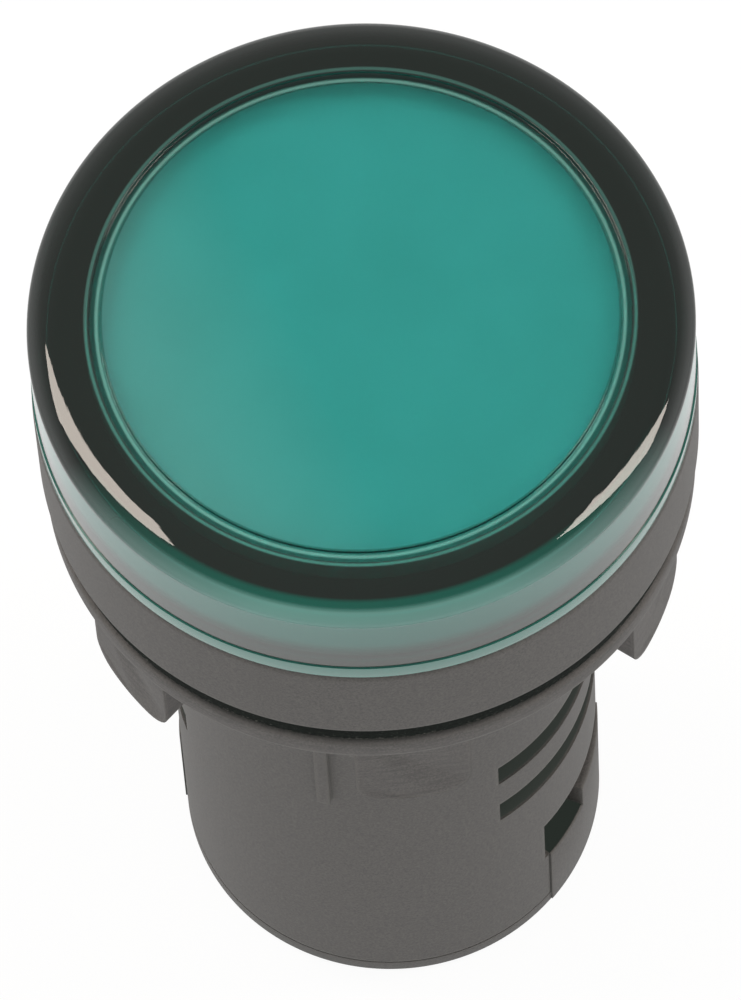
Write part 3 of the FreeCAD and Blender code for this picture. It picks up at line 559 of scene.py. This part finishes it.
lensLow, lensTop = levels("lens_cap")
gasketLow, gasketTop = levels("panel_gasket")
nutLow, nutTop = levels("lock_nut")
coverLow, coverTop = levels("terminal_cover")
housingLow, housingTop = levels("housing")
blockTop = levels("terminal_block")[1]
boardLow = levels("led_board")[0]

print("stage: lens")
lensCap = {
    "sideRadius": 14.55, "footRadius": radiusOf("lens_cap"), "footHeight": 0.95, "edgeRound": 0.08,
    "rimWide": 2.0, "rimDrop": 0.8, "rimSteps": 18, "topWall": 1.6, "sideWall": 1.0,
    "ringRadius": 11.82, "ringWidth": 0.5, "ringDepth": 0.2, "ringRound": 0.05,
    "beadLevel": 2.0, "beadWidth": 0.9, "beadHeight": 0.25,
}


def buildLens(spec):
    inside = spec["sideRadius"] - spec["sideWall"]
    bead = lensLow + spec["beadLevel"]
    rimRadius = spec["sideRadius"] - spec["rimWide"]
    rimLevel = lensTop - spec["rimDrop"]
    ringIn = spec["ringRadius"] - spec["ringWidth"]
    ringFloor = lensTop - spec["ringDepth"]
    footTop = lensLow + spec["footHeight"]
    lower = roundCorners([
        (0, lensTop), (0, lensTop - spec["topWall"]), (inside, lensTop - spec["topWall"]),
        (inside, bead + spec["beadWidth"] / 2), (inside + spec["beadHeight"], bead),
        (inside, bead - spec["beadWidth"] / 2), (inside, lensLow), (spec["footRadius"], lensLow),
        (spec["footRadius"], footTop), (spec["sideRadius"], footTop), (spec["sideRadius"], rimLevel),
    ], spec["edgeRound"])[:-1]
    rim = []
    for k in range(spec["rimSteps"] + 1):
        angle = math.pi / 2 * k / spec["rimSteps"]
        outward = spec["rimWide"] * math.cos(angle)
        rim.append((rimRadius + outward, rimLevel + spec["rimDrop"] * math.sin(angle)))
    ring = roundCorners([
        (rimRadius, lensTop), (spec["ringRadius"], lensTop), (spec["ringRadius"], ringFloor),
        (ringIn, ringFloor), (ringIn, lensTop), (0, lensTop),
    ], spec["ringRound"])[1:-1]
    return latheSolid("lensCapMoulding", lower + rim + ring, steps=256)


standFor(buildLens(lensCap), "lens_cap", "housing", greenPolycarbonate(lensCap, lensTop))

print("stage: housing")
housingGrey = grainedPolyamide("glass filled polyamide moulded", "#3b3936", "#625f5c")
nutGrey = grainedPolyamide("polyamide moulded with drag marks", "#3b3936", "#64605d", dragMm=0.2)
housingSpec = {
    "bezelRadius": radiusOf("housing"), "bezelTop": lensLow, "bezelRound": 0.4, "edgeRound": 0.12,
    "collarOut": 13.5, "collarWall": 1.35, "ledge": 0.9, "diffuser": 1.0,
    "beadLevel": 2.0, "beadWidth": 0.9, "beadHeight": 0.25,
    "neckRadius": 11.0, "neckWall": 1.6, "neckLength": 10.15, "leadIn": 0.5,
    "barrelRadius": 9.75, "barrelWall": 1.6, "blockWall": 1.35,
    "keyAngle": -82.2, "keyWidth": 8.0, "keyDepth": 0.8, "keyOverrun": 1.5,
    "ribAngle": -87.1, "ribWidth": 3.6, "ribHeight": 0.3, "ribLength": 7.6, "ribRoot": 0.5, "ribLap": 0.2,
    "ventAngle": 77.5, "ventHeight": 1.85, "ventLevels": (-18.5, -22.65),
    "windowTop": -28.35, "windowHeight": 3.75, "windowStart": -23.5, "wingStart": -21.9, "wingEnd": 22.3,
    "threadPitch": 1.5, "threadDepth": 0.75, "threadStart": -0.6, "threadEnd": -9.1,
    "threadFlank": 0.42, "threadRoot": 0.06, "threadClear": 0.5, "threadFade": 0.3,
    "cutInside": 1.0, "cutOutside": 2.0,
}


def threadCutter(spec):
    # a triangular groove that winds down the neck, cut from outside and shallower at both ends
    perTurn = 72
    steps = int((spec["threadStart"] - spec["threadEnd"]) / spec["threadPitch"] * perTurn)
    outer = spec["neckRadius"] + spec["threadClear"]
    depth = spec["threadDepth"] + spec["threadClear"]
    flare = spec["threadPitch"] * spec["threadFlank"] * depth / spec["threadDepth"]
    root = spec["threadRoot"]
    mesh = bmesh.new()
    rows = []
    for k in range(steps + 1):
        angle = 2 * math.pi * k / perTurn
        level = spec["threadStart"] - spec["threadPitch"] * k / perTurn
        fade = max(min(1.0, k / (perTurn / 4), (steps - k) / (perTurn / 4)), spec["threadFade"])
        inner = outer - depth * fade
        width = flare * fade
        row = []
        for radius, offset in ((outer, width), (inner, root), (inner, -root), (outer, -width)):
            row.append(mesh.verts.new(pointAt(radius, angle, level + offset)))
        rows.append(row)
    for a, b in zip(rows, rows[1:]):
        for j in range(4):
            mesh.faces.new([a[j], a[(j + 1) % 4], b[(j + 1) % 4], b[j]])
    mesh.faces.new(rows[0])
    mesh.faces.new(reversed(rows[-1]))
    return meshObject("threadCutter", mesh)


def buildHousing(spec):
    neckEnd = -spec["neckLength"]
    collarIn = spec["collarOut"] - spec["collarWall"]
    chamber = collarIn - spec["ledge"]
    diffuserLow = housingTop - spec["diffuser"]
    neckBore = spec["neckRadius"] - spec["neckWall"]
    bore = spec["barrelRadius"] - spec["barrelWall"]
    blockBore = spec["barrelRadius"] - spec["blockWall"]
    shoulder = neckEnd + spec["barrelWall"]
    bead = spec["bezelTop"] + spec["beadLevel"]
    tube = roundCorners([
        (blockBore, housingLow), (spec["barrelRadius"], housingLow), (spec["barrelRadius"], neckEnd),
        (spec["neckRadius"] - spec["leadIn"], neckEnd), (spec["neckRadius"], neckEnd + spec["leadIn"]),
        (spec["neckRadius"], gasketTop),
    ], spec["edgeRound"])
    bezel = roundCorners([
        (spec["neckRadius"], gasketTop), (spec["bezelRadius"], gasketTop),
        (spec["bezelRadius"], spec["bezelTop"]), (spec["collarOut"], spec["bezelTop"]),
    ], spec["bezelRound"], steps=5)
    inner = [
        (spec["collarOut"], spec["bezelTop"]), (spec["collarOut"], bead - spec["beadWidth"] / 2),
        (spec["collarOut"] + spec["beadHeight"], bead), (spec["collarOut"], bead + spec["beadWidth"] / 2),
        (spec["collarOut"], housingTop), (collarIn, housingTop), (collarIn, diffuserLow),
        (chamber, diffuserLow), (chamber, boardLow), (neckBore, boardLow), (neckBore, shoulder),
        (bore, shoulder), (bore, blockTop), (blockBore, blockTop),
    ]
    shell = latheSolid("housingMoulding", tube[:-1] + bezel[:-1] + inner, steps=240)
    through = (bore - spec["cutInside"], spec["barrelRadius"] + spec["cutOutside"])
    cutters = []
    for half in (0, 180):
        for level in spec["ventLevels"]:
            outline = band(level - spec["ventHeight"] / 2, level + spec["ventHeight"] / 2, *through)
            cutters.append(latheSolid("vent", outline, 240, half, spec["ventAngle"]))
        windowLow = spec["windowTop"] - spec["windowHeight"]
        window = ("windowStart", windowLow, spec["windowTop"])
        wingGap = ("wingStart", housingLow - spec["cutInside"], windowLow)
        for start, low, high in (window, wingGap):
            sweep = spec["wingEnd"] - spec[start]
            outline = band(low, high, *through)
            cutters.append(latheSolid("rimOpening", outline, 240, half + spec[start] + sweep / 2, sweep))
    keyOut = spec["neckRadius"] + spec["cutOutside"]
    neckKey = band(neckEnd, 0, spec["neckRadius"] - spec["keyDepth"], keyOut)
    barrelIn = spec["barrelRadius"] - spec["keyDepth"]
    barrelKey = band(neckEnd - spec["keyOverrun"], neckEnd + 0.01, barrelIn, keyOut)
    for name, outline in (("keyway", neckKey), ("keywayEnd", barrelKey)):
        cutters.append(latheSolid(name, outline, 240, spec["keyAngle"], spec["keyWidth"]))
    cutters.append(threadCutter(spec))
    combine(shell, cutters, "DIFFERENCE")
    ribIn = spec["barrelRadius"] - spec["ribRoot"]
    ribOut = spec["barrelRadius"] + spec["ribHeight"]
    outline = band(neckEnd - spec["ribLength"], neckEnd + spec["ribLap"], ribIn, ribOut)
    combine(shell, [latheSolid("rib", outline, 960, spec["ribAngle"], spec["ribWidth"])], "UNION")
    return shell


standFor(buildHousing(housingSpec), "housing", "housing", housingGrey)

print("stage: gasket and nut")
gasketSpec = {"bore": 11.05, "radius": radiusOf("panel_gasket"), "edgeRound": 0.3}
gasketOutline = band(gasketLow, gasketTop, gasketSpec["bore"], gasketSpec["radius"])
gasket = latheSolid("gasketRing", roundCorners(gasketOutline, gasketSpec["edgeRound"], 5), steps=240)
standFor(gasket, "panel_gasket", "housing", nitrileRubber())

nutSpec = {
    "bore": 11.1, "flangeRadius": 14.5, "flangeHeight": 1.45, "hubRadius": 12.2, "hubHeight": 6.1,
    "edgeRound": 0.25, "lugRadius": 13.9, "lugWidth": 21.5, "lugRound": 1.2, "lugRoot": 0.15, "lugLap": 1.0,
    "lugCount": 6, "turn": -4.5,
}


def buildNut(spec):
    flangeLow = nutTop - spec["flangeHeight"]
    hubLow = nutTop - spec["hubHeight"]
    ring = latheSolid("lockNutMoulding", roundCorners([
        (spec["bore"], hubLow), (spec["hubRadius"], hubLow), (spec["hubRadius"], flangeLow),
        (spec["flangeRadius"], flangeLow), (spec["flangeRadius"], nutTop), (spec["bore"], nutTop),
    ], spec["edgeRound"]), steps=240)
    lugs = []
    for k in range(spec["lugCount"]):
        lugs.append(sectorSolid(
            "lug", spec["bore"] + spec["lugRoot"], spec["lugRadius"], nutLow, nutTop - spec["lugLap"],
            spec["turn"] + 360 / spec["lugCount"] * k, spec["lugWidth"], spec["lugRound"],
        ))
    combine(ring, lugs, "UNION")
    return ring


standFor(buildNut(nutSpec), "lock_nut", "nut", nutGrey)

print("stage: terminal cover")
coverSpec = {
    "radius": 9.75, "proud": 0.08, "plate": 1.2, "edge": 0.4, "edgeShare": 0.3, "wall": 1.35,
    "wingStart": -21.6, "wingEnd": 22.0, "tongueStart": -4.5, "wingTop": -32.1, "wingRound": 0.1,
    "ribWall": 1.0, "ribHeight": 2.95, "ribAngle": 34.0, "ribLap": 0.2, "blockWall": 1.4,
    "holeOffset": 4.4, "holeRadius": 2.5, "holeOverrun": 1.0,
}


def buildCover(spec):
    plateTop = coverLow + spec["plate"]
    foot = coverLow + spec["edge"]
    cut = spec["edge"] * spec["edgeShare"]
    plate = latheSolid("coverPlate", [
        (0, coverLow), (spec["radius"] - spec["edge"], coverLow), (spec["radius"] - cut, coverLow + cut),
        (spec["radius"], foot), (spec["radius"], plateTop), (0, plateTop),
    ], steps=240)
    wingOut = spec["radius"] + spec["proud"]
    wingIn = spec["radius"] - spec["wall"]
    ribOut = spec["radius"] - spec["blockWall"]
    ribIn = ribOut - spec["ribWall"]
    ribOutline = band(plateTop - spec["ribLap"], plateTop + spec["ribHeight"], ribIn, ribOut)
    additions = []
    for half in (0, 180):
        for start, top in ((spec["wingStart"], spec["wingTop"]), (spec["tongueStart"], coverTop)):
            sweep = spec["wingEnd"] - start
            outline = roundCorners(band(foot, top, wingIn, wingOut), spec["wingRound"])
            additions.append(latheSolid("wing", outline, 720, half + start + sweep / 2, sweep))
        additions.append(latheSolid("locatingRib", ribOutline, 240, half + 90, spec["ribAngle"]))
    combine(plate, additions, "UNION")
    holeOutline = band(coverLow - spec["holeOverrun"], plateTop + spec["holeOverrun"], 0, spec["holeRadius"])
    holes = []
    for side in (-1, 1):
        hole = latheSolid("driverHole", roundCorners(holeOutline, 0.01), steps=64)
        hole.data.transform(Matrix.Translation((side * spec["holeOffset"] * mm, 0, 0)))
        holes.append(hole)
    combine(plate, holes, "DIFFERENCE")
    return plate


standFor(buildCover(coverSpec), "terminal_cover", "cover", housingGrey)

print("stage: inner pieces")
laminate = boardLaminate()
lacquer = mouldedFinish("lacquered ceramic", "#5b8fa6", "#6ba0b6", 0.35)
pinMetal = metalFinish("tinned brass drawn", "#b9b9b4", "#d0d0cb", 0.3, 0.3, (1, 1, 0.1))
plateMetal = metalFinish("brass stamped", "#b08d4a", "#c9a65c", 0.32, 0.5, (0.2, 1, 1))
screwMetal = metalFinish("steel zinc plated", "#b4b5b2", "#cfd0cc", 0.34, 0.25, (1, 1, 1))
resin = mouldedFinish("clear resin cast", "#c9d8cf", "#d6e2da", 0.12, index=1.54)
finishes = {
    "diffuser_disc": opalAcrylic(),
    "led_board": laminate,
    "power_board": laminate,
    "terminal_block": housingGrey,
    "dropper_capacitor": mouldedFinish("polyester film capacitor dipped", "#b8922a", "#c9a23a", 0.3),
    "smoothing_capacitor": mouldedFinish("aluminium can in shrunk sleeve", "#15181f", "#22262f", 0.35),
    "bridge_rectifier": mouldedFinish("epoxy moulded", "#1a1a1b", "#262627", 0.5),
}
for number in (1, 2):
    finishes[f"resistor_{number}"] = lacquer
    finishes[f"board_pin_{number}"] = pinMetal
    finishes[f"terminal_plate_{number}"] = plateMetal
    finishes[f"clamp_washer_{number}"] = screwMetal
    finishes[f"terminal_screw_{number}"] = screwMetal
for number in range(1, 7):
    finishes[f"led_{number}"] = resin
for name, material in finishes.items():
    dress(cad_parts[name], material)

print("stage: studio")
studio = {
    "floorSpan": 3.0, "floorColour": "#f4f4f3", "paperRoughness": 0.9, "paperGlow": 1.04, "paperShadow": 0.1,
    "worldHigh": 0.4, "worldSide": 0.9, "worldFlank": 0.65,
    "heightSpan": (0.35, 0.85), "flankSpan": (0.6, 1.0),
    "boxDistance": 0.5, "boxHeight": 0.21, "boxRadiance": 9.0,
    "sideBoxes": [
        {"azimuth": 150.0, "elevation": 61.0, "width": 0.1, "colour": "#fff2e6"},
        {"azimuth": 8.0, "elevation": 60.0, "width": 0.085, "colour": "#fff4ea"},
    ],
}
view = {
    "distance": 501.0, "elevation": 65.16, "roll": -3.95, "sideways": -0.12, "aimLevel": -19.22,
    "focalPixels": 11146.21, "imageHeight": 1000, "sensor": 36.0, "clip": (0.01, 20.0),
}


def addFloor(spec):
    mesh = bmesh.new()
    bmesh.ops.create_grid(mesh, x_segments=2, y_segments=2, size=spec["floorSpan"] / 2)
    floor = meshObject("studioFloor", mesh)
    floor.data.transform(Matrix.Translation((0, 0, cadBox[0][2])))
    material, tree, _ = newMaterial("studio paper")
    paper = addNode(tree, "BsdfPrincipled", {
        "Base Color": toLinear(spec["floorColour"]), "Roughness": spec["paperRoughness"],
    })
    # a glow keeps the seen paper white, and what is left of the lit paper under it carries the shadow
    ray = addNode(tree, "LightPath")
    seen = addNode(tree, "Math", {
        0: ray.outputs["Is Camera Ray"], 1: ray.outputs["Is Glossy Ray"],
    }, operation="MAXIMUM")
    seen = addNode(tree, "Math", {0: seen, 1: ray.outputs["Is Transmission Ray"]}, operation="MAXIMUM")
    seen = addNode(tree, "Math", {0: seen, 1: 1 - spec["paperShadow"]}, operation="MULTIPLY")
    glow = addNode(tree, "Emission", {"Strength": spec["paperGlow"]})
    mix = addNode(tree, "MixShader", {0: seen, 1: paper, 2: glow})
    addNode(tree, "OutputMaterial", {"Surface": mix})
    dress(floor, material)


def addWorld(spec):
    # dim overhead and brighter low down, most of all to the photograph's left and right
    world = bpy.data.worlds.new("studioWorld")
    bpy.context.scene.world = world
    world.use_nodes = True
    tree = world.node_tree
    tree.nodes.clear()
    place = addNode(tree, "TexCoord").outputs["Generated"]
    height = addNode(tree, "SeparateXYZ", {"Vector": place}).outputs["Z"]
    level = addNode(tree, "MapRange", {
        "Value": height, "From Min": spec["heightSpan"][0], "From Max": spec["heightSpan"][1],
        "To Min": spec["worldSide"], "To Max": spec["worldHigh"],
    })
    turn = math.radians(photoTurn)
    across = addNode(tree, "VectorMath", {
        0: place, 1: (math.cos(turn), math.sin(turn), 0.0),
    }, operation="DOT_PRODUCT")
    across = addNode(tree, "Math", {0: across.outputs["Value"]}, operation="ABSOLUTE")
    flank = addNode(tree, "MapRange", {
        "Value": across, "From Min": spec["flankSpan"][0], "From Max": spec["flankSpan"][1],
        "To Max": spec["worldFlank"],
    })
    level = addNode(tree, "Math", {0: level, 1: flank}, operation="ADD")
    back = addNode(tree, "Background", {"Strength": level})
    addNode(tree, "OutputWorld", {"Surface": back})


def addSoftbox(name, spec, box):
    # azimuth is counted from the photograph's right, and the box looks at the lamp
    lamp = bpy.data.lights.new(name, "AREA")
    lamp.shape = "RECTANGLE"
    lamp.size = box["width"]
    lamp.size_y = spec["boxHeight"]
    lamp.color = toLinear(box["colour"])[:3]
    lamp.energy = spec["boxRadiance"] * math.pi * box["width"] * spec["boxHeight"]
    holder = bpy.data.objects.new(name, lamp)
    bpy.context.scene.collection.objects.link(holder)
    azimuth = math.radians(box["azimuth"] + photoTurn)
    elevation = math.radians(box["elevation"])
    flat = Vector((math.cos(azimuth), math.sin(azimuth), 0)) * math.cos(elevation)
    holder.location = (flat + Vector((0, 0, math.sin(elevation)))) * spec["boxDistance"]
    holder.rotation_euler = (-holder.location).to_track_quat("-Z", "Y").to_euler()


def addCamera(spec):
    # the view is fitted to the lens rim, the bezel and the barrel's end in the photograph
    elevation = math.radians(spec["elevation"])
    roll = math.radians(spec["roll"])
    behind = spec["distance"] * math.cos(elevation)
    above = spec["aimLevel"] + spec["distance"] * math.sin(elevation)
    ahead = Vector((0, math.cos(elevation), -math.sin(elevation)))
    right = Vector((1, 0, 0))
    up = right.cross(ahead)
    rolledRight = right * math.cos(roll) + up * math.sin(roll)
    rolledUp = up * math.cos(roll) - right * math.sin(roll)
    place = Matrix((rolledRight, rolledUp, -ahead)).transposed().to_4x4()
    place.translation = Vector((spec["sideways"], -behind, above)) * mm
    turned = Matrix.Rotation(math.radians(photoTurn), 4, "Z") @ place
    turned.translation.z += lensTop * mm
    data = bpy.data.cameras.new("camera")
    data.sensor_width = spec["sensor"]
    data.lens = spec["focalPixels"] / spec["imageHeight"] * spec["sensor"]
    data.clip_start, data.clip_end = spec["clip"]
    camera = bpy.data.objects.new("camera", data)
    bpy.context.scene.collection.objects.link(camera)
    camera.matrix_world = turned
    bpy.context.scene.camera = camera


addFloor(studio)
addWorld(studio)
for order, box in enumerate(studio["sideBoxes"]):
    addSoftbox(f"sideBox{order}", studio, box)
addCamera(view)
bpy.context.scene.view_settings.view_transform = "Standard"
